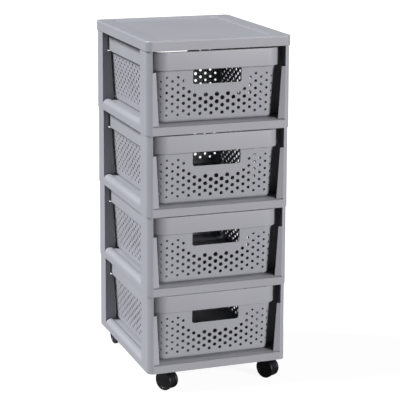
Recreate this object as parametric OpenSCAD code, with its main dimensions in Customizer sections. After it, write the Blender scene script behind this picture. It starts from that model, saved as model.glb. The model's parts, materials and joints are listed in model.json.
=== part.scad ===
// Plastic drawer tower: four stacked tier frames, each holding one perforated pull-out basket,
// with a dished top cover and four twin-wheel casters.
// X is to the right, Y runs from front to back, Z is up, and the floor is at Z = 0.

/* [Tower] */
// Width of the tower, at the foot of each tier
tower_w = 300; // [280:2:400]
// Depth of the tower, at the foot of each tier
tower_d = 356; // [320:2:460]
// Height of one tier, from the foot of its rail to the foot of the next
tier_pitch = 164; // [150:1:220]
// How far each side leans in over one tier
tier_draft = 1.2; // [0.4:0.1:1.4]
// Radius of the tower's upright corners
corner_r = 12.5; // [8:0.5:16]
// Wall thickness of the tower's mouldings
wall = 2.8; // [2.2:0.1:3.2]

/* [Shelf] */
// Height of the upright face of the front and rear rails
rail_h = 16.3; // [14:0.1:24]
// How far the shelf floor lies above the top of the rail's face
floor_rise = 3.7; // [2:0.1:6]
// Depth of the slope that joins the rail's face to the shelf floor
rail_slope_d = 12; // [8:1:16]
// Thickness of the shelf floor
floor_t = 2.6; // [2:0.2:3.4]
// Height of the rounded sill along each side above the shelf floor
sill_rise = 2.6; // [1.4:0.2:5]
// Radius of the sill's outer edge
sill_r = 11; // [6:0.5:12]
// Width of the sill's top, measured from the outside of the tower
sill_w = 14; // [12.5:0.5:15]
// Height of the ribs under the shelf floor
rib_h = 9; // [6:0.5:12]
// Thickness of the ribs
rib_t = 1.8; // [1.4:0.1:2.6]

/* [Posts] */
// Width of each post on the tower's side faces
post_w = 48; // [40:1:60]
// Width of each post on the front and rear faces, beside the basket's rim
post_lip = 12; // [11:0.5:13]
// Angle at which the basket guide turns in from the post's lip
guide_angle = 17; // [8:1:26]
// Clearance between the basket's body and the guides
guide_gap = 3; // [2:0.2:6]
// Clearance between the basket's body and the posts' webs
web_gap = 4.6; // [3:0.2:7]
// Height of the tongue on each post that enters the piece above
tongue_h = 8; // [5:0.5:10]
// Width of that tongue
tongue_w = 24; // [16:1:28]
// Clearance round the tongue
tongue_gap = 0.3; // [0.2:0.1:0.6]

/* [Top cover] */
// Height of the cover's skirt
cover_h = 20.5; // [18:0.5:28]
// How far the cover stands out beyond the foot of a tier
cover_overhang = 0.3; // [0:0.1:1]
// Radius of the cover's upper edge
cover_edge_r = 3; // [1.5:0.5:4]
// Depth of the dished panel
dish_depth = 3; // [1:0.25:4]
// Width of the raised border at each side of the dished panel
dish_side = 30.5; // [18:0.5:36]
// Width of the raised border at the front and rear of the dished panel
dish_end = 15; // [12:0.5:36]
// Width of the slope round the dished panel
dish_slope = 8.5; // [2:0.5:10]
// Corner radius of the panel's flat floor
dish_r = 4; // [2:0.5:12]

/* [Basket] */
// Clearance between the basket's rim and the outside of the tower, at each side
rim_side_room = 14.8; // [14:0.2:19]
// Set-back of the basket's rim from the front and the rear of the tower
rim_end_room = 8; // [6:0.5:14]
// Clearance between the basket's rim and the rail above it
rim_top_gap = 3.8; // [2.5:0.1:6]
// Height of the rim's skirt
rim_h = 35.5; // [26:0.5:44]
// How far the rim stands out from the body, at the top
rim_out = 5.4; // [4.5:0.1:7]
// How far each wall of the body leans in from top to bottom
basket_draft = 7.6; // [4:0.2:10]
// Radius of the body's upright corners
basket_r = 22; // [16:1:28]
// Wall thickness of the basket
basket_wall = 2; // [1.6:0.1:2.6]
// Thickness of the basket's floor
basket_floor = 2.4; // [1.8:0.1:3]
// Size of the slope inside, between the basket's floor and its walls
floor_slope = 2.5; // [1:0.5:4]
// Clearance under the basket
lift = 0.3; // [0.2:0.1:0.6]

/* [Handle] */
// Width of the hand hole
handle_w = 101; // [80:1:120]
// Height of the hand hole
handle_h = 30; // [24:1:36]
// Corner radius of the hand hole
handle_r = 5; // [3:0.5:10]

/* [Perforation] */
// Spacing of the columns of holes
hole_pitch = 11.7; // [10:0.1:16]
// Spacing of the holes in one column
hole_step = 14.9; // [12:0.1:20]
// Height of the lowest row of holes above the basket's foot
hole_first = 18.2; // [12:0.1:24]
// Plain band left under the rim's skirt
hole_top_band = 11; // [8:0.5:24]
// Diameter of the largest holes, in the middle of a wall
hole_big = 8.8; // [6:0.1:9.2]
// Diameter of the smallest holes, at the ends of a wall
hole_small = 3.8; // [3:0.1:5]
// Plain band left round the hand hole
handle_band = 14; // [8:0.5:20]

/* [Casters] */
// Diameter of a caster wheel
wheel_d = 40; // [34:1:44]
// Width of one caster wheel
wheel_w = 7.6; // [6:0.2:9]
// Width of the hood's core, between the two wheels
core_w = 10; // [9:0.2:12]
// Clearance between a wheel and the hood's core
wheel_gap = 0.3; // [0.2:0.1:0.5]
// Distance of the axle behind the swivel
trail = 20; // [16:0.5:22]
// Direction in which the casters trail, turned from the rear
caster_turn = 212; // [0:1:359]
// The same for the caster at the rear left
rear_left_turn = 5; // [0:1:359]
// Distance of the swivels from the middle of the tower, sideways
stem_x = 112; // [96:1:116]
// Distance of the swivels from the middle of the tower, front to back
stem_y = 134; // [120:1:140]
// Diameter of the stem in its socket
stem_d = 10.8; // [10:0.1:12]
// Diameter of the swivel pin below the stem's collar
pin_d = 6.4; // [5.6:0.1:6.8]
// Diameter of the axle
axle_d = 4; // [3:0.1:5]
// Radial clearance of every shaft in its bore
shaft_gap = 0.05; // [0.02:0.01:0.1]

/* [Hidden] */

shell_grey = [0.66, 0.66, 0.68];
caster_black = [0.08, 0.08, 0.09];
steel_grey = [0.72, 0.73, 0.75];

tiers = 4;
arc_fn = 64;          // segments of a full turn where a corner comes out as facets
over = 1;             // how far a cutter runs past the face that it cuts

// Heights inside one tier, from the foot of its rail
floor_z = rail_h + floor_rise;
sill_z = floor_z + sill_rise;

// The basket, from its own foot
basket_h = tier_pitch - floor_z - lift - rim_top_gap;
rim_w = tower_w - 2 * rim_side_room;
rim_d = tower_d - 2 * rim_end_room;
body_r = basket_r + basket_draft / 2;
rim_r = body_r + rim_out;
body_w = rim_w - 2 * rim_out;
body_d = rim_d - 2 * rim_out;
skirt_z = basket_h - rim_h;
foot_recess = 1;      // how far the middle of the basket's floor stands clear of the shelf
foot_ring = 14;       // distance of that recess from the outside of the basket
foot_z0 = basket_floor + foot_recess;
bend_z = foot_z0 + floor_slope;

// The notch in each post lets the rim's skirt pass
notch_gap = 1.3;
notch_z = floor_z + lift + skirt_z - notch_gap;
lip_x = tower_w / 2 - post_lip;
window_y = tower_d / 2 - post_w;

// Casters, from the floor: the wheel, the hood over it, the stem's collar and the socket
axle_z = wheel_d / 2;
canopy_gap = 0.8;     // between a wheel's tread and the canopy
canopy_t = 2;
core_recess = 2.4;    // how far the core stays inside the wheels' outline
hood_in_r = wheel_d / 2 + canopy_gap;
hood_out_r = hood_in_r + canopy_t;
hood_cap = 2;         // the hub's top stands this far above the canopy
swivel_gap = 0.3;
collar_t = 2;
collar_rim = 2.5;     // how far the collar stands out round the stem
collar_d = stem_d + 2 * collar_rim;
hood_top = axle_z + hood_out_r + hood_cap;
collar_z = hood_top + swivel_gap;
socket_inset = 2;     // the socket's end lies this far above the foot of the rail
foot_z = collar_z + collar_t - socket_inset;
stem_len = 14;
stem_nose = 1.5;      // chamfer on the stem's end, and the room left above it
stem_gap = 0.1;
socket_d = stem_d + 2 * stem_gap;
socket_wall = 3.2;
groove_depth = 1.2;
groove_d = stem_d - 2 * groove_depth;
groove_w = 3;
ring_gap = 0.1;       // clearance of the grip ring in its groove
ring_split = 2;
pin_len = 15;
pin_floor = 2;        // thickness of the hood under the pin
core_rear = 2;        // the core's upper part ends this far in front of the axle
hub_room = 1.5;       // clearance between the hub and the wheels' outline
hub_wall = 3.8;
hub_d = pin_d + 2 * hub_wall;

// Wheels, from the axle out
wheel_cap = 2;        // thickness of a wheel's face at the axle
cap_gap = 0.2;        // clearance between the axle's end and that face
axle_len = core_w + 2 * wheel_gap + 2 * (wheel_w - wheel_cap - cap_gap);
tread_edge = 1.6;     // radius of a wheel's edges
tread_t = 3.2;
face_dish = 1;        // depth of the dish in a wheel's face
face_rim = 4.6;       // width of the rim round it, and of the slope inside that
face_slope = 1.4;
web_t = 3.4;          // thickness of a wheel between its hub and its tread
wheel_hub_r = axle_d + 1.6;

// Height of the foot of tier LEVEL above the floor
function tier_z(level) = foot_z + (level - 1) * tier_pitch;

// Half the width, or depth, of the basket's body at a height above the basket's foot
function body_half(size, z) = size / 2 - basket_draft * (1 - z / basket_h);

// Distance of a post's inner edge from the middle of the tower at a height above the tier's foot
function edge_x(z, gap) = body_half(body_w, z - floor_z - lift) + gap;

module rounded_rect(w, d, r) {
  square([w - 2 * r, d], center = true);
  square([w, d - 2 * r], center = true);
  for (sx = [-1, 1], sy = [-1, 1])
    translate([sx * (w / 2 - r), sy * (d / 2 - r)]) circle(r = r);
}

// A solid from a profile drawn in X and Z, running along Y
module along_y(length) {
  rotate([90, 0, 0]) linear_extrude(height = length, center = true) children();
}

// A solid from a profile drawn in Y and Z, running along X
module along_x(length) {
  rotate([90, 0, 90]) linear_extrude(height = length, center = true) children();
}

// The four corners of the tower are mirror images of the one at +X, -Y
module at_corners() {
  for (sx = [0, 1], sy = [0, 1])
    mirror([sx, 0, 0]) mirror([0, sy, 0]) children();
}

// A block that leans in like the outside of one tier, inset by a wall
module leaning_block(inset, z0, z1) {
  lean = tier_draft / tier_pitch;
  w0 = tower_w - 2 * (inset + lean * z0);
  d0 = tower_d - 2 * (inset + lean * z0);
  shrink = 2 * lean * (z1 - z0);
  translate([0, 0, z0])
    linear_extrude(height = z1 - z0, slices = 1, scale = [(w0 - shrink) / w0, (d0 - shrink) / d0])
      rounded_rect(w0, d0, corner_r - inset, $fn = arc_fn);
}

// Cross-section of the shelf from front to back, drawn in Y and Z
module shelf_section(inset, drop) {
  y = tower_d / 2 - inset;
  y_floor = tower_d / 2 - rail_slope_d - inset / 2;
  polygon([
    [-y, -over * (inset > 0 ? 1 : 0)], [-y, rail_h - drop], [-y_floor, floor_z - drop],
    [y_floor, floor_z - drop], [y, rail_h - drop], [y, -over * (inset > 0 ? 1 : 0)]
  ]);
}

// Cross-section of the sill at +X, drawn in X and Z
module sill_section(inset) {
  r = sill_r - inset;
  x_out = tower_w / 2 - inset;
  x_in = tower_w / 2 - sill_w + inset;
  z_low = inset > 0 ? -over : 0;
  z_top = sill_z - inset;
  translate([x_in, z_low]) square([x_out - x_in, z_top - r - z_low]);
  translate([x_in, z_low]) square([x_out - r - x_in, z_top - z_low]);
  translate([x_out - r, z_top - r]) circle(r = r, $fn = arc_fn);
}

// What the sill's rounded outer edge leaves off, between the posts
module sill_round_over() {
  x = tower_w / 2 - sill_r;
  z = sill_z - sill_r;
  along_y(2 * window_y)
    difference() {
      translate([x, z]) square(sill_r + over);
      translate([x, z]) circle(r = sill_r, $fn = arc_fn);
    }
}

module sill() {
  length = tower_d - 2 * rail_slope_d;
  along_y(length) {
    sill_section(0);
    polygon([
      [tower_w / 2 - sill_w - sill_rise, floor_z - floor_t],
      [tower_w / 2 - sill_w - sill_rise, floor_z],
      [tower_w / 2 - sill_w, sill_z],
      [tower_w / 2 - sill_w + wall, floor_z - floor_t]
    ]);
  }
}

// Cross ribs under the shelf floor, trimmed to the inside of the shelf's section
module floor_ribs() {
  rib_x = lip_x - 2 * sill_w;
  rib_y = window_y - 2 * sill_w;
  rib_z = floor_z - floor_t - rib_h;
  intersection() {
    along_x(tower_w - wall) shelf_section(wall / 2, floor_t / 2);
    for (k = [-2 : 2]) {
      translate([k * rib_x / 2 - rib_t / 2, -tower_d / 2, rib_z]) cube([rib_t, tower_d, floor_z]);
      translate([-tower_w / 2, k * rib_y / 2 - rib_t / 2, rib_z]) cube([tower_w, rib_t, floor_z]);
    }
  }
}

// Floor, rails and sills as one hollow moulding, open underneath
module shelf() {
  difference() {
    union() {
      intersection() {
        along_x(tower_w) shelf_section(0, 0);
        linear_extrude(height = 2 * floor_z) rounded_rect(tower_w, tower_d, corner_r, $fn = arc_fn);
      }
      sill();
      mirror([1, 0, 0]) sill();
    }
    intersection() {
      along_x(tower_w - 2 * wall) shelf_section(wall, floor_t);
      translate([0, 0, -over])
        linear_extrude(height = 2 * floor_z)
          rounded_rect(tower_w - 2 * wall, tower_d - 2 * wall, corner_r - wall, $fn = arc_fn);
    }
    for (side = [0, 1])
      mirror([side, 0, 0]) {
        along_y(tower_d - 2 * rail_slope_d - 2 * wall) sill_section(wall);
        sill_round_over();
      }
  }
  floor_ribs();
}

// The web that closes the post on the side of the window, with the notch for the basket's rim
module post_web() {
  z_foot = floor_z - floor_t / 2;
  x_out = tower_w / 2;
  translate([0, -window_y - wall / 2, 0]) along_y(wall)
    polygon([
      [x_out, z_foot], [edge_x(z_foot, web_gap), z_foot], [edge_x(notch_z, web_gap), notch_z],
      [lip_x, notch_z], [lip_x, tier_pitch], [x_out, tier_pitch]
    ]);
}

// The guide that turns in from the post's lip, leaning back with it
module post_guide() {
  lean = atan(tier_draft / tier_pitch);
  widen = 1 / cos(guide_angle);
  z_foot = floor_z - floor_t / 2;
  translate([lip_x, -tower_d / 2, 0]) rotate([-lean, 0, 0]) rotate([0, 0, -guide_angle])
    translate([0, wall / 2, 0]) along_y(wall)
      polygon([
        [over, z_foot], [(edge_x(z_foot, guide_gap) - lip_x) * widen, z_foot],
        [(edge_x(notch_z, guide_gap) - lip_x) * widen, notch_z], [over, notch_z]
      ]);
}

// The tongue that locates the next tier, or the top cover, on this post
module post_tongue() {
  tongue_t = wall;
  x_out = tower_w / 2 - wall - tongue_gap;
  translate([x_out - tongue_t, -window_y - wall / 2 - tongue_w, tier_pitch - tongue_h])
    cube([tongue_t, tongue_w, 2 * tongue_h]);
}

module posts() {
  intersection() {
    difference() {
      leaning_block(0, 0, tier_pitch);
      leaning_block(wall, -over, tier_pitch + over);
    }
    at_corners()
      translate([lip_x, -tower_d / 2 - over, rail_h / 2])
        cube([post_lip + over, post_w + over, tier_pitch]);
  }
  intersection() {
    leaning_block(0, 0, tier_pitch);
    at_corners() {
      post_web();
      post_guide();
    }
  }
  at_corners() post_tongue();
}

// The socket that takes a caster's stem
module socket_boss() {
  translate([stem_x, -stem_y, socket_inset])
    cylinder(d = socket_d + 2 * socket_wall, h = floor_z - floor_t / 2 - socket_inset, $fn = arc_fn);
}

module socket_bore() {
  translate([stem_x, -stem_y, 0])
    cylinder(d = socket_d, h = socket_inset + stem_len + stem_nose, $fn = arc_fn);
}

module tier_frame(level) {
  color(shell_grey)
    translate([0, 0, tier_z(level)])
      difference() {
        union() {
          shelf();
          posts();
          at_corners() socket_boss();
        }
        at_corners() socket_bore();
      }
}

module cover_shell() {
  w = tower_w / 2 + cover_overhang - corner_r;
  d = tower_d / 2 + cover_overhang - corner_r;
  hull()
    for (sx = [-1, 1], sy = [-1, 1])
      translate([sx * w, sy * d, 0]) {
        cylinder(r = corner_r, h = cover_h - cover_edge_r, $fn = 48);
        translate([0, 0, cover_h - cover_edge_r])
          rotate_extrude($fn = 48)
            translate([corner_r - cover_edge_r, 0]) circle(r = cover_edge_r, $fn = 32);
      }
}

// The dished panel: a flat floor, and a slope all round that runs on past the top
module dish() {
  cx = tower_w / 2 - dish_side - dish_slope - dish_r;
  cy = tower_d / 2 - dish_end - dish_slope - dish_r;
  z0 = cover_h - dish_depth;
  h = dish_depth + over;
  r1 = dish_r + dish_slope * h / dish_depth;
  translate([0, 0, z0]) {
    along_y(2 * cy) polygon([[-cx - dish_r, 0], [cx + dish_r, 0], [cx + r1, h], [-cx - r1, h]]);
    along_x(2 * cx) polygon([[-cy - dish_r, 0], [cy + dish_r, 0], [cy + r1, h], [-cy - r1, h]]);
    for (sx = [-1, 1], sy = [-1, 1])
      translate([sx * cx, sy * cy, 0]) cylinder(r1 = dish_r, r2 = r1, h = h, $fn = arc_fn);
  }
}

module top_cover() {
  plate_z = cover_h - dish_depth - floor_t;
  rib_x = tower_w / 2 - post_lip - sill_w;
  color(shell_grey)
    translate([0, 0, tier_z(tiers + 1)]) {
      difference() {
        cover_shell();
        dish();
        translate([0, 0, -over])
          linear_extrude(height = plate_z + over)
            rounded_rect(tower_w - 2 * wall, tower_d - 2 * wall, corner_r - wall, $fn = arc_fn);
      }
      for (k = [-2 : 2])
        translate([k * rib_x / 2 - rib_t / 2, -tower_d / 2 + wall / 2, plate_z - rib_h])
          cube([rib_t, tower_d - wall, rib_h + floor_t / 2]);
    }
}

// The outside of the basket's body, inset at its foot and at its top. The corners turn round fixed
// centres, and their radius grows with height as the walls lean out.
module basket_block(inset0, inset1, z0, z1) {
  cx = body_w / 2 - body_r;
  cy = body_d / 2 - body_r;
  r0 = body_half(2 * body_r, z0) - inset0;
  r1 = body_half(2 * body_r, z1) - inset1;
  h = z1 - z0;
  translate([0, 0, z0]) {
    along_y(2 * cy) polygon([[-cx - r0, 0], [cx + r0, 0], [cx + r1, h], [-cx - r1, h]]);
    along_x(2 * cx) polygon([[-cy - r0, 0], [cy + r0, 0], [cy + r1, h], [-cy - r1, h]]);
    for (sx = [-1, 1], sy = [-1, 1])
      translate([sx * cx, sy * cy, 0]) cylinder(r1 = r0, r2 = r1, h = h, $fn = arc_fn);
  }
}

// The rim: a flange round the top that turns down into a skirt
module basket_rim() {
  difference() {
    translate([0, 0, skirt_z])
      linear_extrude(height = rim_h) rounded_rect(rim_w, rim_d, rim_r, $fn = arc_fn);
    translate([0, 0, skirt_z - over])
      linear_extrude(height = rim_h - basket_wall + over)
        rounded_rect(rim_w - 2 * basket_wall, rim_d - 2 * basket_wall, rim_r - basket_wall, $fn = arc_fn);
    basket_block(basket_wall / 2, basket_wall / 2, skirt_z - over, basket_h + over);
  }
}

// Hand hole in the front wall, and in the rear wall when mirrored
module hand_hole() {
  y_out = rim_d / 2;
  y_in = body_half(body_d, 0) - basket_r;
  translate([0, -(y_out + y_in) / 2, skirt_z - handle_h / 2])
    along_y(y_out - y_in) rounded_rect(handle_w, handle_h, handle_r, $fn = arc_fn);
}

// Rows and columns of the perforation. A column holds every second row.
hole_rows = floor((skirt_z - hole_top_band - hole_first) / (hole_step / 2));
wall_end = 2.5;       // the last column of the front wall stays this far inside the foot's outline
side_end = 8.8;       // and that of the side wall this far
row_half = hole_step / 2;
focus_row = 4.5;      // the height of the largest holes, counted in rows
front_cols = floor((body_half(body_w, 0) - wall_end) / hole_pitch);
side_cols = floor((body_half(body_d, 0) - side_end) / hole_pitch);
hole_focus_z = hole_first + focus_row * row_half;
hole_clear = 0.6;     // how far a front cutter stays clear of the side walls' last column

function hole_z(row) = hole_first + row * row_half;

// Holes are biggest in the middle of a wall and shrink towards its ends, its foot and its rim
function hole_d(along, z, reach) =
  let (far = norm([along / reach, (z - hole_focus_z) / (basket_h / 2)]))
  max(hole_small, hole_big - (hole_big - hole_small) * far);

// Distance from the hand hole, in the plane of the wall
function handle_distance(x, z) =
  norm([max(0, abs(x) - handle_w / 2), max(0, skirt_z - handle_h - z)]);

// Cutters for the front wall: each goes through that wall only
module front_holes() {
  y_out = rim_d / 2;
  y_in = side_cols * hole_pitch + hole_small / 2 + hole_clear;
  for (col = [-front_cols : front_cols], row = [0 : hole_rows])
    if ((abs(col) + row) % 2 == 1 && handle_distance(col * hole_pitch, hole_z(row)) > handle_band)
      translate([col * hole_pitch, -y_in, hole_z(row)])
        rotate([90, 0, 0])
          cylinder(d = hole_d(col * hole_pitch, hole_z(row), body_w / 2), h = y_out - y_in, $fn = 24);
}

// Cutters for the wall at +X
module side_holes() {
  x_out = rim_w / 2;
  x_in = body_half(body_w, 0) - 2 * basket_wall;
  for (col = [-side_cols : side_cols], row = [0 : hole_rows])
    if ((abs(col) + row) % 2 == 1)
      translate([x_in, col * hole_pitch, hole_z(row)])
        rotate([0, 90, 0])
          cylinder(d = hole_d(col * hole_pitch, hole_z(row), body_d / 2), h = x_out - x_in, $fn = 24);
}

module basket(level) {
  color(shell_grey)
    translate([0, 0, tier_z(level) + floor_z + lift]) {
      difference() {
        basket_block(0, 0, 0, basket_h);
        basket_block(basket_wall + floor_slope, basket_wall, foot_z0, bend_z);
        basket_block(basket_wall, basket_wall, bend_z, basket_h + over);
        translate([0, 0, -over])
          linear_extrude(height = foot_recess + over)
            rounded_rect(
              2 * (body_half(body_w, 0) - foot_ring), 2 * (body_half(body_d, 0) - foot_ring),
              basket_r - foot_ring / 2, $fn = arc_fn
            );
        for (end = [0, 1])
          mirror([0, end, 0]) {
            hand_hole();
            front_holes();
          }
        for (side = [0, 1]) mirror([side, 0, 0]) side_holes();
      }
      basket_rim();
    }
}

// Places a caster piece at the corner that sx and sy pick, not turned
module at_stem(sx, sy) {
  translate([sx * stem_x, sy * stem_y, 0]) children();
}

// The same, turned with its caster. The axle trails behind the swivel.
module at_caster(sx, sy) {
  turn = sx < 0 && sy > 0 ? rear_left_turn : caster_turn;
  at_stem(sx, sy) rotate([0, 0, turn]) children();
}

module caster_stem(sx, sy) {
  groove_z = collar_z + collar_t + stem_len - 2 * groove_w;
  color(steel_grey)
    at_stem(sx, sy)
      difference() {
        union() {
          translate([0, 0, collar_z]) cylinder(d = collar_d, h = collar_t, $fn = arc_fn);
          translate([0, 0, collar_z + collar_t])
            cylinder(d = stem_d, h = stem_len - stem_nose, $fn = arc_fn);
          translate([0, 0, collar_z + collar_t + stem_len - stem_nose])
            cylinder(d1 = stem_d, d2 = stem_d - 2 * stem_nose, h = stem_nose, $fn = arc_fn);
          translate([0, 0, collar_z - pin_len]) cylinder(d = pin_d, h = pin_len, $fn = arc_fn);
        }
        translate([0, 0, groove_z])
          difference() {
            cylinder(d = stem_d + 2 * over, h = groove_w, $fn = arc_fn);
            translate([0, 0, -over]) cylinder(d = groove_d, h = groove_w + 2 * over, $fn = arc_fn);
          }
      }
}

// Split ring in the stem's groove
module caster_grip_ring(sx, sy) {
  groove_z = collar_z + collar_t + stem_len - 2 * groove_w;
  color(steel_grey)
    at_stem(sx, sy)
      translate([0, 0, groove_z + ring_gap])
        difference() {
          cylinder(d = stem_d, h = groove_w - 2 * ring_gap, $fn = arc_fn);
          translate([0, 0, -over])
            cylinder(d = groove_d + 2 * ring_gap, h = groove_w + 2 * over, $fn = arc_fn);
          translate([0, -ring_split / 2, -over]) cube([stem_d, ring_split, groove_w + 2 * over]);
        }
}

// Hood: a core between the wheels, a canopy over them and a hub on the swivel pin
module caster_hood(sx, sy) {
  // the hub ends where it would come too near the wheels
  hub_z = axle_z + sqrt(pow(wheel_d / 2 + hub_room, 2) - pow(max(0, trail - hub_d / 2), 2));
  color(caster_black)
    at_caster(sx, sy)
      difference() {
        union() {
          translate([0, trail, axle_z]) rotate([0, 90, 0])
            cylinder(r = hood_in_r - core_recess, h = core_w, center = true, $fn = arc_fn);
          intersection() {
            translate([0, trail, axle_z]) rotate([0, 90, 0])
              difference() {
                cylinder(r = hood_out_r, h = core_w + wheel_w, center = true, $fn = arc_fn);
                cylinder(r = hood_in_r, h = core_w + wheel_w + over, center = true, $fn = arc_fn);
              }
            translate([0, trail - hood_out_r, axle_z + hood_out_r])
              rotate([45, 0, 0]) cube([2 * wheel_d, 2 * hood_out_r, 2 * hood_out_r], center = true);
          }
          intersection() {
            translate([0, trail, axle_z]) rotate([0, 90, 0])
              cylinder(r = hood_out_r, h = core_w, center = true, $fn = arc_fn);
            translate([-wheel_d, trail - wheel_d - core_rear, axle_z])
              cube([2 * wheel_d, wheel_d, wheel_d]);
          }
          translate([0, 0, hub_z]) cylinder(d = hub_d, h = hood_top - hub_z, $fn = arc_fn);
          translate([-core_w / 2, 0, axle_z]) cube([core_w, trail, hood_in_r - core_recess]);
          translate([0, 0, collar_z - pin_len - pin_floor])
            cylinder(d = core_w, h = pin_len, $fn = arc_fn);
        }
        translate([0, 0, collar_z - pin_len - shaft_gap])
          cylinder(d = pin_d + 2 * shaft_gap, h = pin_len + over, $fn = arc_fn);
        translate([0, trail, axle_z]) rotate([0, 90, 0])
          cylinder(d = axle_d + 2 * shaft_gap, h = core_w + 2 * over, center = true, $fn = arc_fn);
      }
}

module caster_axle(sx, sy) {
  color(steel_grey)
    at_caster(sx, sy)
      translate([0, trail, axle_z]) rotate([0, 90, 0])
        cylinder(d = axle_d, h = axle_len, center = true, $fn = arc_fn);
}

// Section of a wheel, from the axle out, with its inner face at zero
module wheel_section() {
  r = wheel_d / 2;
  difference() {
    union() {
      square([r - tread_edge, wheel_w]);
      translate([0, tread_edge]) square([r, wheel_w - 2 * tread_edge]);
      for (z = [tread_edge, wheel_w - tread_edge])
        translate([r - tread_edge, z]) circle(r = tread_edge, $fn = 32);
    }
    // dished outer face
    polygon([
      [-over, wheel_w + over], [-over, wheel_w - face_dish],
      [r - face_rim - face_slope, wheel_w - face_dish], [r - face_rim, wheel_w + over]
    ]);
    // hollow inner face, inside the tread and round the hub
    translate([wheel_hub_r, -over]) square([r - tread_t - wheel_hub_r, wheel_w - web_t + over]);
    translate([-over, -over]) square([over + axle_d / 2 + shaft_gap, wheel_w - wheel_cap + over]);
  }
}

// side is -1 for the wheel on the left of the core and 1 for the one on the right
module caster_wheel(sx, sy, side) {
  color(caster_black)
    at_caster(sx, sy)
      translate([side * (core_w / 2 + wheel_gap), trail, axle_z])
        rotate([0, side * 90, 0]) rotate_extrude($fn = arc_fn) wheel_section();
}

top_cover();
tier_frame(1);  // tier_frame_1
tier_frame(2);  // tier_frame_2
tier_frame(3);  // tier_frame_3
tier_frame(4);  // tier_frame_4
basket(1);  // basket_1
basket(2);  // basket_2
basket(3);  // basket_3
basket(4);  // basket_4
caster_stem(-1, -1);  // caster_fl_stem
caster_grip_ring(-1, -1);  // caster_fl_grip_ring
caster_hood(-1, -1);  // caster_fl_hood
caster_axle(-1, -1);  // caster_fl_axle
caster_wheel(-1, -1, -1);  // caster_fl_wheel_left
caster_wheel(-1, -1, 1);  // caster_fl_wheel_right
caster_stem(1, -1);  // caster_fr_stem
caster_grip_ring(1, -1);  // caster_fr_grip_ring
caster_hood(1, -1);  // caster_fr_hood
caster_axle(1, -1);  // caster_fr_axle
caster_wheel(1, -1, -1);  // caster_fr_wheel_left
caster_wheel(1, -1, 1);  // caster_fr_wheel_right
caster_stem(-1, 1);  // caster_rl_stem
caster_grip_ring(-1, 1);  // caster_rl_grip_ring
caster_hood(-1, 1);  // caster_rl_hood
caster_axle(-1, 1);  // caster_rl_axle
caster_wheel(-1, 1, -1);  // caster_rl_wheel_left
caster_wheel(-1, 1, 1);  // caster_rl_wheel_right
caster_stem(1, 1);  // caster_rr_stem
caster_grip_ring(1, 1);  // caster_rr_grip_ring
caster_hood(1, 1);  // caster_rr_hood
caster_axle(1, 1);  // caster_rr_axle
caster_wheel(1, 1, -1);  // caster_rr_wheel_left
caster_wheel(1, 1, 1);  // caster_rr_wheel_right
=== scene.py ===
import json
import math

import bmesh
import bpy
from mathutils import Matrix, Vector

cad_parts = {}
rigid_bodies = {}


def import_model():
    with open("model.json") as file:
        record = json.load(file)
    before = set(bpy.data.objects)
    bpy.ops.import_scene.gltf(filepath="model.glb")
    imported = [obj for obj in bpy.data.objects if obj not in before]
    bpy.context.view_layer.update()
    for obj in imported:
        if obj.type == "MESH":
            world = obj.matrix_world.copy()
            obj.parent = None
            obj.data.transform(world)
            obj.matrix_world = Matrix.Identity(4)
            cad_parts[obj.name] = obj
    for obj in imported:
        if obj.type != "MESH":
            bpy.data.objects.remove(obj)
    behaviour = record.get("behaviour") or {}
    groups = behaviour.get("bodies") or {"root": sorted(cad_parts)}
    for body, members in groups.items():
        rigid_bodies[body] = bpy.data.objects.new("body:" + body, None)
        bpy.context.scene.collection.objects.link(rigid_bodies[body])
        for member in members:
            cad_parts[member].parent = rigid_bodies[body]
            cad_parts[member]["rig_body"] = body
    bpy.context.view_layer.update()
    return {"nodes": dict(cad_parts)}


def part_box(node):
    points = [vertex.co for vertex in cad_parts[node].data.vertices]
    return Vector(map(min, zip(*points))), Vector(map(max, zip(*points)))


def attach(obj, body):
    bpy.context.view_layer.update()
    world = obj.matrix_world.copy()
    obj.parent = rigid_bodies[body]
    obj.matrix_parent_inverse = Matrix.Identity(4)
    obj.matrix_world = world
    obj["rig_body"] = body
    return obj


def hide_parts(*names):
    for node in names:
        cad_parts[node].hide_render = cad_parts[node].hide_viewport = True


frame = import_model()
MM = 0.001


# Shader and node helpers

def linear(code):
    """An sRGB hex colour as the linear colour that a shader takes."""
    parts = [int(code[i:i + 2], 16) / 255 for i in (1, 3, 5)]
    return (*(c / 12.92 if c <= 0.04045 else ((c + 0.055) / 1.055) ** 2.4 for c in parts), 1.0)


def add(tree, kind, inputs=None, **settings):
    """Adds a node. An input takes a value, or the socket that feeds it."""
    made = tree.nodes.new(kind)
    for name, value in settings.items():
        setattr(made, name, value)
    for name, value in (inputs or {}).items():
        if isinstance(value, bpy.types.NodeSocket):
            tree.links.new(value, made.inputs[name])
        else:
            made.inputs[name].default_value = value
    return made


def calc(tree, operation, *terms):
    """The result of a sum whose terms are values or sockets."""
    return add(tree, "ShaderNodeMath", dict(enumerate(terms)), operation=operation).outputs[0]


def vector(tree, **parts):
    """A vector of the parts named X, Y and Z. A part that isn't named is 0."""
    return add(tree, "ShaderNodeCombineXYZ", parts).outputs[0]


def length(tree, of):
    return add(tree, "ShaderNodeVectorMath", {0: of}, operation="LENGTH").outputs["Value"]


def new_finish(name):
    """A material with its nodes cleared."""
    finish = bpy.data.materials.new(name)
    finish.use_nodes = True
    finish.node_tree.nodes.clear()
    return finish


def per_mm(size):
    """The scale at which a pattern repeats about every so many millimetres."""
    return 1 / (size * MM)


# Materials

NOISE_LOW, NOISE_HIGH = 0.3, 0.7    # a noise lies almost wholly between these
CLOUD_MM = 140                      # size of the clouds in a moulding's colour
GRAIN_DEPTH_MM = 0.05
GRAIN_STRENGTH = 0.25
ROUGH_SWING = 0.05                  # how far the grain moves the roughness, up and down


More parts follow.
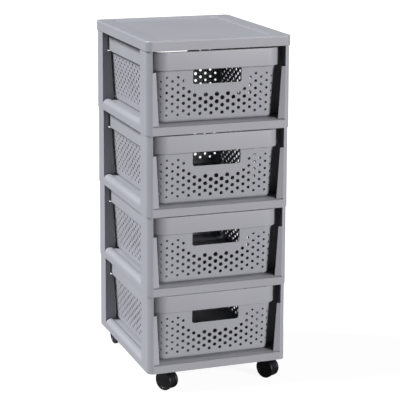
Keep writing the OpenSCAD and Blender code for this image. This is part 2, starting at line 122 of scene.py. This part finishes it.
def moulded(name, light, dark, rough, grain_mm, ior):
    """A moulded plastic: faint clouds where the melt flowed, and the grain of the eroded mould."""
    finish = new_finish(name)
    tree = finish.node_tree
    place = add(tree, "ShaderNodeTexCoord").outputs["Object"]
    clouds = add(tree, "ShaderNodeTexNoise", {
        "Vector": place, "Scale": per_mm(CLOUD_MM), "Detail": 3.0,
    })
    grain = add(tree, "ShaderNodeTexNoise", {
        "Vector": place, "Scale": per_mm(grain_mm), "Detail": 2.0,
    })
    colour = add(tree, "ShaderNodeValToRGB", {"Fac": clouds.outputs["Fac"]})
    low, high = colour.color_ramp.elements
    low.position, low.color = NOISE_LOW, linear(dark)
    high.position, high.color = NOISE_HIGH, linear(light)
    gloss = add(tree, "ShaderNodeMapRange", {
        "Value": grain.outputs["Fac"], "From Min": NOISE_LOW, "From Max": NOISE_HIGH,
        "To Min": rough - ROUGH_SWING, "To Max": rough + ROUGH_SWING,
    })
    bump = add(tree, "ShaderNodeBump", {
        "Height": grain.outputs["Fac"], "Strength": GRAIN_STRENGTH, "Distance": GRAIN_DEPTH_MM * MM,
    })
    shader = add(tree, "ShaderNodeBsdfPrincipled", {
        "Base Color": colour.outputs["Color"], "Roughness": gloss.outputs["Result"],
        "Normal": bump.outputs["Normal"], "IOR": ior,
    })
    add(tree, "ShaderNodeOutputMaterial", {"Surface": shader.outputs["BSDF"]})
    return finish


# Polypropylene, injection-moulded: opaque mid grey with a cool cast, satin from a spark-eroded
# mould. The mould's grain is finer than a pixel, so it is drawn wider than it is.
polypropylene = moulded("polypropylene_moulded_grey", light="#98999e", dark="#94959a",
                        rough=0.42, grain_mm=1.6, ior=1.49)
# Polyamide, injection-moulded: near black and a little glossier, with a finer grain.
polyamide = moulded("polyamide_moulded_black", light="#101114", dark="#0d0e10",
                    rough=0.38, grain_mm=1.2, ior=1.53)

STEEL_COLOUR = "#c3c6cb"
STEEL_ROUGH_MIN, STEEL_ROUGH_MAX = 0.24, 0.4
MARK_MM = 4                         # size of the marks that turning leaves on steel
MARK_SQUEEZE = 8.0                  # they lie level, so their pattern is squeezed in height


def zinc_plated():
    """Zinc-plated steel: bright, cool and slightly streaked round the turned stem."""
    finish = new_finish("steel_zinc_plated")
    tree = finish.node_tree
    place = add(tree, "ShaderNodeTexCoord").outputs["Object"]
    marks = add(tree, "ShaderNodeMapping", {
        "Vector": place, "Scale": (1.0, 1.0, MARK_SQUEEZE),
    }).outputs[0]
    streaks = add(tree, "ShaderNodeTexNoise", {
        "Vector": marks, "Scale": per_mm(MARK_MM), "Detail": 3.0,
    })
    gloss = add(tree, "ShaderNodeMapRange", {
        "Value": streaks.outputs["Fac"], "To Min": STEEL_ROUGH_MIN, "To Max": STEEL_ROUGH_MAX,
    })
    shader = add(tree, "ShaderNodeBsdfPrincipled", {
        "Base Color": linear(STEEL_COLOUR), "Metallic": 1.0, "Roughness": gloss.outputs["Result"],
    })
    add(tree, "ShaderNodeOutputMaterial", {"Surface": shader.outputs["BSDF"]})
    return finish


finish_of_slot = {
    "grey_plastic": polypropylene, "caster_plastic": polyamide, "steel": zinc_plated(),
}


def slot_of(node):
    if "caster" not in node:
        return "grey_plastic"
    return "steel" if node.endswith(("stem", "grip_ring", "axle")) else "caster_plastic"


def body_of(node):
    return frame["nodes"][node]["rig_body"]


# Objects and meshes

def new_object(name, mesh, finish=None):
    """An object with a mesh, and with one finish all over if that is given."""
    made = bpy.data.objects.new(name, mesh)
    bpy.context.collection.objects.link(made)
    if finish:
        mesh.materials.clear()
        mesh.materials.append(finish)
    return made


def evaluated_mesh(thing):
    """The mesh that an object's modifiers give."""
    graph = bpy.context.evaluated_depsgraph_get()
    return bpy.data.meshes.new_from_object(thing.evaluated_get(graph), depsgraph=graph)


def smooth(mesh, sharp_degrees):
    """Smooth shading, except over edges that turn by more than an angle."""
    mesh.shade_smooth()
    mesh.set_sharp_from_angle(angle=math.radians(sharp_degrees))


def stand_for(piece, node):
    """The piece takes the place of a node, on the node's body."""
    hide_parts(node)
    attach(piece, body_of(node))


# The basket, in millimetres from its own foot

foot_corner, rim_corner = (Vector(c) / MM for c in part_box("basket_1"))
rim_half_x, rim_half_y = rim_corner.x, rim_corner.y
basket_h = rim_corner.z - foot_corner.z
rim_out = 5.4             # the rim stands out this far from the body
rim_h = 35.5              # height of the rim's skirt
draft = 7.6               # each wall leans in this far from top to foot
body_r = 25.8             # radius of the body's corners at the top
wall = 2.0                # thickness of the walls, the flange and the skirt
floor_t = 2.4
floor_recess = 1.0        # the floor's middle stands clear of the shelf
ring_w = 14.0             # the ring that the basket stands on, from its outside
ring_step = 2.0           # the section ends this far inside the ring, and the floor goes on flat
foot_r = 7.0              # rounding of the foot, outside
inner_r = 5.0             # rounding between the floor and the walls, inside
rim_edge_r = 1.2          # rounding of the rim's upper edges
corner_x = rim_half_x - rim_out - body_r
corner_y = rim_half_y - rim_out - body_r
skirt_z = basket_h - rim_h
split_z = skirt_z - 4     # a row of vertices on the wall, a little under the skirt
lean = draft / basket_h
handle_w, handle_h, handle_r = 101.0, 30.0, 5.0

# steps in the turns of the section and of the outlines
foot_steps, inner_steps, hem_steps, rim_edge_steps = 10, 8, 8, 6
corner_steps, handle_steps = 12, 6


def body_radius(z):
    """Radius of the body's corners at a height."""
    return body_r - draft * (1 - z / basket_h)


def arc(centre, radius, start, stop, steps):
    """Points of an arc, from one angle to another in degrees."""
    angles = [math.radians(start + (stop - start) * i / steps) for i in range(steps + 1)]
    return [(centre[0] + radius * math.cos(a), centre[1] + radius * math.sin(a)) for a in angles]


def basket_section():
    """Section of floor, wall and rim, as distance out from a corner's centre, and height."""
    tilt = math.degrees(math.atan(lean))
    rim_r = body_r + rim_out
    flange_z = basket_h - wall
    edge_z = basket_h - rim_edge_r
    floor_top = floor_t + floor_recess
    ring_in = body_radius(0) - ring_w
    wall_in = body_radius(floor_top + inner_r) - wall
    return [
        (ring_in - ring_step, floor_recess), (ring_in, floor_recess), (ring_in, 0),
        *arc((body_radius(foot_r) - foot_r, foot_r), foot_r, -90, -tilt, foot_steps),
        (body_radius(split_z), split_z), (body_radius(flange_z), flange_z),
        (rim_r - wall, flange_z),
        *arc((rim_r - wall / 2, skirt_z + wall / 2), wall / 2, 180, 360, hem_steps),
        *arc((rim_r - rim_edge_r, edge_z), rim_edge_r, 0, 90, rim_edge_steps),
        *arc((body_r - wall + rim_edge_r, edge_z), rim_edge_r, 90, 180, rim_edge_steps),
        *arc((wall_in - inner_r, floor_top + inner_r), inner_r, -tilt, -90, inner_steps),
        (ring_in - ring_step, floor_top),
    ]


def rounded_outline(half_w, half_h, radius, steps):
    """A rectangle with rounded corners. It keeps its corners' centres whatever the radius."""
    outline = []
    for k, (side, end) in enumerate(((1, -1), (1, 1), (-1, 1), (-1, -1))):
        outline += arc((side * half_w, end * half_h), radius, 90 * k - 90, 90 * k, steps)
    return outline


def lofted(name, rings):
    """A closed mesh through rings of as many points each, in millimetres, with flat ends."""
    form = bmesh.new()
    rows = [[form.verts.new(Vector(p) * MM) for p in ring] for ring in rings]
    for low, high in zip(rows, rows[1:]):
        for i in range(len(low)):
            j = (i + 1) % len(low)
            form.faces.new((low[i], low[j], high[j], high[i]))
    form.faces.new(rows[0][::-1])
    form.faces.new(rows[-1])
    bmesh.ops.recalc_face_normals(form, faces=form.faces)
    mesh = bpy.data.meshes.new(name)
    form.to_mesh(mesh)
    form.free()
    return mesh


def basket_shell():
    rings = [[(x, y, z) for x, y in rounded_outline(corner_x, corner_y, r, corner_steps)]
             for r, z in basket_section()]
    return lofted("basket_shell", rings)


# A cutter as it goes through the wall: depth behind the outer face, and how much wider the hand
# hole's cutter is there. It flares at the face, so that each hole gets a rounded lip.
LIP = ((3.5, 0.0), (0.5, 0.0), (0.16, 0.12), (0.0, 0.45), (-0.8, 1.5))
# Widths of a small hole's cutter at the same depths, as shares of the hole's radius
PIN_WIDTHS = (1.0, 1.0, 1.03, 1.1, 1.5)
PIN_SIDES = 18


def hand_hole_cutter(turned):
    """Cutter for the hand hole of the front wall, or of the rear wall when turned."""
    z = skirt_z - handle_h / 2
    place = (Matrix.Rotation(turned, 4, "Z")
             @ Matrix.Translation((0, -corner_y - body_radius(z), z))
             @ Matrix.Rotation(math.atan(lean), 4, "X"))
    half_w, half_h = handle_w / 2 - handle_r, handle_h / 2 - handle_r
    rings = [
        [place @ Vector((x, depth, up))
         for x, up in rounded_outline(half_w, half_h, handle_r + wider, handle_steps)]
        for depth, wider in LIP
    ]
    return new_object("hand_hole_cutter", lofted("hand_hole_cutter", rings))


WALL_COUNTS = ("Columns", "Rows")
WALL_SIZES = (
    "Column Pitch", "Row Step", "First Row", "Straight Half", "Corner Centre", "Foot Radius",
    "Lean", "Largest", "Smallest", "Reach", "Focus Height", "Height Reach", "Bare Half Width",
    "Bare Foot", "Bare Band",
)
ODD_MARGIN = 0.2          # a place whose count is this near to an odd number holds a hole


def cutter_pin(tree):
    """One cutter, 2 units wide: a round pin that flares at the wall's face."""
    index = add(tree, "GeometryNodeInputIndex").outputs[0]
    depths = add(tree, "GeometryNodeIndexSwitch", {"Index": index}, data_type="FLOAT")
    widths = add(tree, "GeometryNodeIndexSwitch", {"Index": index}, data_type="FLOAT")
    for switch, values in ((depths, [-depth * MM for depth, _ in LIP]), (widths, PIN_WIDTHS)):
        # a new switch has the index and two items
        for _ in values[2:]:
            switch.index_switch_items.new()
        for k, value in enumerate(values):
            switch.inputs[k + 1].default_value = value
    line = add(tree, "GeometryNodeMeshLine", {"Count": len(LIP)}).outputs[0]
    at = vector(tree, Z=depths.outputs[0])
    line = add(tree, "GeometryNodeSetPosition", {"Geometry": line, "Position": at}).outputs[0]
    line = add(tree, "GeometryNodeMeshToCurve", {"Mesh": line}).outputs[0]
    ring = add(tree, "GeometryNodeCurvePrimitiveCircle", {
        "Resolution": PIN_SIDES, "Radius": 1.0,
    }).outputs[0]
    return add(tree, "GeometryNodeCurveToMesh", {
        "Curve": line, "Profile Curve": ring, "Scale": widths.outputs[0], "Fill Caps": True,
    }).outputs[0]


def wall_perforation():
    """Cutters for the holes of the wall that faces -Y: a staggered field, smaller outwards."""
    tree = bpy.data.node_groups.new("wall_perforation", "GeometryNodeTree")
    for names, kind in ((WALL_COUNTS, "Int"), (WALL_SIZES, "Float")):
        for name in names:
            tree.interface.new_socket(name, in_out="INPUT", socket_type="NodeSocket" + kind)
    tree.interface.new_socket("Cutters", in_out="OUTPUT", socket_type="NodeSocketGeometry")
    size = add(tree, "NodeGroupInput").outputs

    # a lattice of all places where a hole may be
    steps = calc(tree, "SUBTRACT", size["Columns"], 1.0)
    wide = calc(tree, "MULTIPLY", steps, size["Column Pitch"])
    steps = calc(tree, "SUBTRACT", size["Rows"], 1.0)
    high = calc(tree, "MULTIPLY", steps, size["Row Step"])
    lattice = add(tree, "GeometryNodeMeshGrid", {
        "Size X": wide, "Size Y": high, "Vertices X": size["Columns"], "Vertices Y": size["Rows"],
    }).outputs["Mesh"]
    place = add(tree, "GeometryNodeInputPosition").outputs[0]
    place = add(tree, "ShaderNodeSeparateXYZ", {0: place}).outputs
    along = calc(tree, "ABSOLUTE", place["X"])
    up = calc(tree, "MULTIPLY_ADD", high, 0.5, place["Y"])
    height = calc(tree, "ADD", up, size["First Row"])

    # every second place, so that a column holds every second row
    column = calc(tree, "DIVIDE", along, size["Column Pitch"])
    row = calc(tree, "DIVIDE", up, size["Row Step"])
    rest = calc(tree, "MODULO", calc(tree, "ADD", column, row), 2.0)
    odd = calc(tree, "COMPARE", rest, 1.0, ODD_MARGIN)

    # the place on the leaning wall, which turns round its corners, and the way out of the wall
    radius = calc(tree, "MULTIPLY_ADD", height, size["Lean"], size["Foot Radius"])
    past = calc(tree, "MAXIMUM", calc(tree, "SUBTRACT", along, size["Straight Half"]), 0.0)
    sideways = calc(tree, "MULTIPLY", past, calc(tree, "SIGN", place["X"]))
    radius_2, past_2 = (calc(tree, "POWER", term, 2.0) for term in (radius, past))
    bulge = calc(tree, "SQRT", calc(tree, "SUBTRACT", radius_2, past_2))
    front = calc(tree, "MULTIPLY", calc(tree, "ADD", bulge, size["Corner Centre"]), -1.0)
    on_wall = vector(tree, X=place["X"], Y=front, Z=height)
    fall = calc(tree, "MULTIPLY", radius, size["Lean"])
    outwards = add(tree, "ShaderNodeVectorMath", {
        0: vector(tree, X=sideways, Y=bulge, Z=fall), 1: (1.0, -1.0, -1.0),
    }, operation="MULTIPLY").outputs[0]

    # the hole's size
    share = calc(tree, "DIVIDE", along, size["Reach"])
    rise = calc(tree, "SUBTRACT", height, size["Focus Height"])
    rise = calc(tree, "DIVIDE", rise, size["Height Reach"])
    bore = add(tree, "ShaderNodeMapRange", {
        "Value": length(tree, vector(tree, X=share, Y=rise)),
        "To Min": size["Largest"], "To Max": size["Smallest"],
    }).outputs[0]
    bore_radius = calc(tree, "MULTIPLY", bore, 0.5)
    scale = vector(tree, X=bore_radius, Y=bore_radius, Z=1.0)

    # the bare band round the hand hole
    beside = calc(tree, "SUBTRACT", along, size["Bare Half Width"])
    beside = calc(tree, "MAXIMUM", beside, 0.0)
    below = calc(tree, "MAXIMUM", calc(tree, "SUBTRACT", size["Bare Foot"], height), 0.0)
    away = length(tree, vector(tree, X=beside, Y=below))
    clear = calc(tree, "GREATER_THAN", away, size["Bare Band"])
    wanted = calc(tree, "MULTIPLY", clear, odd)

    # the values are taken on the lattice, before its points move onto the wall
    kept = add(tree, "GeometryNodeCaptureAttribute", {"Geometry": lattice})
    for name, kind, value in (
            ("wanted", "FLOAT", wanted), ("outwards", "VECTOR", outwards),
            ("scale", "VECTOR", scale)):
        kept.capture_items.new(kind, name)
        tree.links.new(value, kept.inputs[name])
    points = add(tree, "GeometryNodeSetPosition", {
        "Geometry": kept.outputs["Geometry"], "Position": on_wall,
    }).outputs[0]
    facing = add(tree, "FunctionNodeAlignRotationToVector", {
        "Vector": kept.outputs["outwards"],
    }, axis="Z").outputs[0]
    cutters = add(tree, "GeometryNodeInstanceOnPoints", {
        "Points": points, "Selection": kept.outputs["wanted"], "Instance": cutter_pin(tree),
        "Rotation": facing, "Scale": kept.outputs["scale"],
    }).outputs[0]
    cutters = add(tree, "GeometryNodeRealizeInstances", {0: cutters}).outputs[0]
    add(tree, "NodeGroupOutput", {0: cutters})
    return tree


HAND_HOLES = ("Front Hand Hole", "Rear Hand Hole")


def perforated_basket(fields):
    """The shell with its hand holes and fields of holes. A field comes with its walls' turns."""
    tree = bpy.data.node_groups.new("perforated_basket", "GeometryNodeTree")
    for name, way, kind in (
            ("Shell", "INPUT", "Geometry"), *((end, "INPUT", "Object") for end in HAND_HOLES),
            ("Plastic", "INPUT", "Material"), ("Basket", "OUTPUT", "Geometry")):
        tree.interface.new_socket(name, in_out=way, socket_type="NodeSocket" + kind)
    given = add(tree, "NodeGroupInput").outputs
    wall_tree = wall_perforation()
    joined = add(tree, "GeometryNodeJoinGeometry")
    for end in HAND_HOLES:
        cutter = add(tree, "GeometryNodeObjectInfo", {"Object": given[end]})
        tree.links.new(cutter.outputs["Geometry"], joined.inputs[0])
    for sizes, turns in fields:
        field = add(tree, "GeometryNodeGroup", sizes, node_tree=wall_tree)
        for degrees in turns:
            turned = add(tree, "GeometryNodeTransform", {
                "Geometry": field.outputs[0], "Rotation": (0, 0, math.radians(degrees)),
            })
            tree.links.new(turned.outputs[0], joined.inputs[0])
    cut = add(tree, "GeometryNodeMeshBoolean", {"Mesh 1": given["Shell"]},
              operation="DIFFERENCE", solver="MANIFOLD")
    tree.links.new(joined.outputs[0], cut.inputs["Mesh 2"])
    real = add(tree, "GeometryNodeRealizeInstances", {0: cut.outputs[0]}).outputs[0]
    painted = add(tree, "GeometryNodeSetMaterial", {"Geometry": real, "Material": given["Plastic"]})
    add(tree, "NodeGroupOutput", {0: painted.outputs[0]})
    return tree


HOLE_STEP = 14.9                    # from one hole of a column to the next
HOLE_LARGEST, HOLE_SMALLEST = 9.3, 4.2
FOCUS_Z = 49.5                      # height of the largest holes
BARE_BAND = 15.3                    # plain plastic round a hand hole
FRONT_FIRST_Z, FIRST_Z = 15.3, 18.2     # the front wall's field sits a little lower
FRONT_PITCH, REAR_PITCH, SIDE_PITCH = 11.6, 11.4, 11.2
ROWS, END_COLUMNS, SIDE_COLUMNS = 11, 21, 25
# more than the step between two facets of a corner, and less than any edge that is meant to show
BASKET_SHARP = 10


def basket_mesh():
    """The basket with all its holes, in its finish."""
    any_wall = {
        "Rows": ROWS, "Row Step": HOLE_STEP / 2 * MM, "Foot Radius": body_radius(0) * MM,
        "Lean": lean, "Largest": HOLE_LARGEST * MM, "Smallest": HOLE_SMALLEST * MM,
        "Focus Height": FOCUS_Z * MM, "Height Reach": basket_h / 2 * MM,
    }
    end_wall = {
        **any_wall, "Columns": END_COLUMNS, "Straight Half": corner_x * MM,
        "Corner Centre": corner_y * MM, "Reach": (corner_x + body_r) * MM,
        "Bare Half Width": handle_w / 2 * MM, "Bare Foot": (skirt_z - handle_h) * MM,
        "Bare Band": BARE_BAND * MM,
    }
    front = {**end_wall, "Column Pitch": FRONT_PITCH * MM, "First Row": FRONT_FIRST_Z * MM}
    rear = {**end_wall, "Column Pitch": REAR_PITCH * MM, "First Row": FIRST_Z * MM}
    # no hand hole here: a bare width below nothing leaves every place clear of the band
    side = {
        **any_wall, "Columns": SIDE_COLUMNS, "Column Pitch": SIDE_PITCH * MM,
        "First Row": FIRST_Z * MM, "Straight Half": corner_y * MM, "Corner Centre": corner_x * MM,
        "Reach": (corner_y + body_r) * MM, "Bare Half Width": -1.0, "Bare Foot": 0.0,
        "Bare Band": 0.0,
    }
    basket = new_object("basket_being_cut", basket_shell())
    cutters = [hand_hole_cutter(0), hand_hole_cutter(math.pi)]
    holes = basket.modifiers.new("perforation", "NODES")
    holes.node_group = perforated_basket(((front, (0,)), (rear, (180,)), (side, (90, -90))))
    sockets = holes.node_group.interface.items_tree
    given = {s.name: s.identifier for s in sockets if s.in_out == "INPUT"}
    for end, cutter in zip(HAND_HOLES, cutters):
        holes[given[end]] = cutter
    holes[given["Plastic"]] = polypropylene
    mesh = evaluated_mesh(basket)
    for thing in (basket, *cutters):
        bpy.data.objects.remove(thing)
    smooth(mesh, BASKET_SHARP)
    return mesh


one_basket = basket_mesh()
for level in (1, 2, 3, 4):
    node = f"basket_{level}"
    mesh = one_basket.copy()
    mesh.transform(Matrix.Translation((0, 0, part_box(node)[0][2])))
    stand_for(new_object(f"{node}_perforated", mesh), node)


# The other pieces: the solids with their tessellation merged and their edges softened as a
# mould's are. Sizes in millimetres, heights from a basket's foot.

TIER_PITCH = 164.0
FRAME_BELOW = 22.0        # a frame begins this far below its basket's foot
WEB_GAP = 4.6             # from the basket's body to the web's edge, in the solid
WEB_SHIFT = 1.3           # how much nearer to the basket the edge is brought
WEB_EDGE_MARGIN = 0.1     # a vertex this near to the edge belongs to it
WEB_Y = (129.9, 132.9)    # the rear webs lie between these
RIB_Y = WEB_Y[0] - 1      # the ribs lie nearer to the middle than this
SILL_R = 11.0             # rounding of the sill's outer edge, and its axis
SILL_AXIS_X, SILL_AXIS_Z = 139.0, -8.7
RIB_PAST = (1.002, 1.2)   # a rib's end lies this far from the axis, as shares of the rounding

MERGE_MM = 0.002          # vertices nearer than this are one
FLAT_DEGREES = 0.4        # faces that turn by less than this become one
EDGE_DEGREES = 35         # edges that turn by more than this are rounded
CASTER_EDGE_MM, TOWER_EDGE_MM = 0.4, 0.8
# the slopes of the cover's dish are gentle, and their edges are crisp
SHARP, COVER_SHARP = 30, 14


def correct_frame(form):
    """Brings the rear webs nearer to the basket, and trims the ribs' ends flush with the sills."""
    for corner in form.verts:
        place = corner.co / MM
        height = (place.z - foot_corner.z + FRAME_BELOW) % TIER_PITCH - FRAME_BELOW
        edge = corner_x + body_radius(height) + WEB_GAP
        on_edge = abs(abs(place.x) - edge) < WEB_EDGE_MARGIN
        if WEB_Y[0] < place.y < WEB_Y[1] and on_edge:
            corner.co.x -= math.copysign(WEB_SHIFT * MM, place.x)
        out = abs(place.x) - SILL_AXIS_X
        up = height - SILL_AXIS_Z
        past = math.hypot(out, up) / SILL_R
        at_rib = abs(place.y) < RIB_Y and 0 < out and 0 < up
        if at_rib and RIB_PAST[0] < past < RIB_PAST[1]:
            corner.co.x = math.copysign(SILL_AXIS_X + out / past, place.x) * MM
            corner.co.z -= (up - up / past) * MM


def softened(node, edge_mm, sharp_degrees):
    """A copy of a solid with small rounded edges."""
    form = bmesh.new()
    form.from_mesh(frame["nodes"][node].data)
    bmesh.ops.remove_doubles(form, verts=form.verts, dist=MERGE_MM * MM)
    if node.startswith("tier_frame"):
        correct_frame(form)
    bmesh.ops.dissolve_limit(form, angle_limit=math.radians(FLAT_DEGREES), verts=form.verts,
                             edges=form.edges, delimit={"NORMAL"})
    mesh = bpy.data.meshes.new(node)
    form.to_mesh(mesh)
    form.free()
    rough = new_object(node, mesh)
    edges = rough.modifiers.new("edges", "BEVEL")
    edges.width = edge_mm * MM
    edges.segments = 2
    edges.limit_method = "ANGLE"
    edges.angle_limit = math.radians(EDGE_DEGREES)
    edges.use_clamp_overlap = True
    edges.miter_outer = "MITER_SHARP"
    mesh = evaluated_mesh(rough)
    smooth(mesh, sharp_degrees)
    rough.modifiers.clear()
    rough.data = mesh
    # large faces keep their own direction, so that only the edges shade round
    rough.modifiers.new("flat_faces", "WEIGHTED_NORMAL").keep_sharp = True
    mesh = evaluated_mesh(rough)
    bpy.data.objects.remove(rough)
    return new_object(f"{node}_softened", mesh, finish_of_slot[slot_of(node)])


for node in frame["nodes"]:
    if "caster" in node:
        stand_for(softened(node, CASTER_EDGE_MM, SHARP), node)
    elif not node.startswith("basket"):
        sharp = COVER_SHARP if node == "top_cover" else SHARP
        stand_for(softened(node, TOWER_EDGE_MM, sharp), node)


# Studio: a white room, a soft light from the rear left and one from the front right

ROOM_LIGHT = 0.02         # strength of the light that the room gives
ROOM_SHINE = 0.1          # how much nearer to white it is for what shines
FLOOR_M = 14
FLOOR_PAINT = 0.2         # what the floor gives back of the light
FLOOR_SEEN = 0.92         # how bright the camera sees it besides
LAMP_AWAY_M = 4


def grey(level):
    return (level, level, level, 1)


def white_room():
    """A world that is dim for the light it gives, and white where the camera sees it."""
    world = bpy.data.worlds.new("white_room")
    bpy.context.scene.world = world
    world.use_nodes = True
    tree = world.node_tree
    tree.nodes.clear()
    ray = add(tree, "ShaderNodeLightPath").outputs
    seen = calc(tree, "MULTIPLY_ADD", ray["Is Glossy Ray"], ROOM_SHINE, ray["Is Camera Ray"])
    level = add(tree, "ShaderNodeMapRange", {"Value": seen, "To Min": ROOM_LIGHT, "To Max": 1.0})
    back = add(tree, "ShaderNodeBackground", {
        "Color": grey(1), "Strength": level.outputs["Result"],
    })
    add(tree, "ShaderNodeOutputWorld", {"Surface": back.outputs["Background"]})


def white_floor():
    """A floor that takes the tower's shadow, and is otherwise as white as the room."""
    bpy.ops.mesh.primitive_plane_add(size=FLOOR_M)
    floor = bpy.context.object
    floor.name = "studio_floor"
    finish = new_finish("studio_floor_white")
    tree = finish.node_tree
    ray = add(tree, "ShaderNodeLightPath")
    paint = add(tree, "ShaderNodeBsdfDiffuse", {"Color": grey(FLOOR_PAINT)})
    glow = add(tree, "ShaderNodeEmission", {
        "Color": grey(FLOOR_SEEN), "Strength": ray.outputs["Is Camera Ray"],
    })
    both = add(tree, "ShaderNodeAddShader", {0: paint.outputs[0], 1: glow.outputs[0]})
    add(tree, "ShaderNodeOutputMaterial", {"Surface": both.outputs[0]})
    floor.data.materials.append(finish)


def soft_light(name, tint, azimuth, elevation, strength, spread):
    """A lamp far off, seen from the tower at that azimuth (from +X towards +Y) and elevation."""
    lamp = bpy.data.lights.new(name, "SUN")
    lamp.energy = strength
    lamp.color = tint
    lamp.angle = math.radians(spread)
    holder = bpy.data.objects.new(name, lamp)
    bpy.context.collection.objects.link(holder)
    a, e = math.radians(azimuth), math.radians(elevation)
    towards = Vector((math.cos(a) * math.cos(e), math.sin(a) * math.cos(e), math.sin(e)))
    holder.rotation_euler = towards.to_track_quat("Z", "Y").to_euler()
    holder.location = towards * LAMP_AWAY_M


CAMERA_PLACE = (-1.00275, -2.84398, 1.1110)
CAMERA_YAW, CAMERA_PITCH, CAMERA_ROLL = 0.3380, 0.2830, 0.0031     # in radians
FOCAL_PIXELS, PICTURE_PIXELS = 1470.2, 400
SENSOR_MM = 36
SHIFT_X, SHIFT_Y = 0.03, 0.14


def photo_camera():
    """The photograph's view: from the front left and above, on a long lens."""
    sin_yaw, cos_yaw = math.sin(CAMERA_YAW), math.cos(CAMERA_YAW)
    sin_pitch, cos_pitch = math.sin(CAMERA_PITCH), math.cos(CAMERA_PITCH)
    sin_roll, cos_roll = math.sin(CAMERA_ROLL), math.cos(CAMERA_ROLL)
    ahead = Vector((sin_yaw * cos_pitch, cos_yaw * cos_pitch, -sin_pitch))
    right = Vector((cos_yaw, -sin_yaw, 0))
    up = right.cross(ahead)
    side = right * cos_roll + up * sin_roll
    up = up * cos_roll - right * sin_roll
    lens = bpy.data.cameras.new("photo_camera")
    lens.sensor_width = SENSOR_MM
    lens.lens = FOCAL_PIXELS / PICTURE_PIXELS * SENSOR_MM
    lens.shift_x, lens.shift_y = SHIFT_X, SHIFT_Y
    lens.clip_end = 50
    camera = bpy.data.objects.new("photo_camera", lens)
    bpy.context.collection.objects.link(camera)
    turned = Matrix((side, up, -ahead)).transposed().to_4x4()
    camera.matrix_world = Matrix.Translation(CAMERA_PLACE) @ turned
    bpy.context.scene.camera = camera


white_room()
white_floor()
soft_light("rear_left_softbox", tint=(0.975, 0.985, 1.02), azimuth=163, elevation=42,
           strength=5.8, spread=20)
soft_light("front_right_softbox", tint=(1.0, 0.985, 1.0), azimuth=301, elevation=14,
           strength=3.5, spread=20)
photo_camera()
bpy.context.scene.view_settings.view_transform = "Standard"
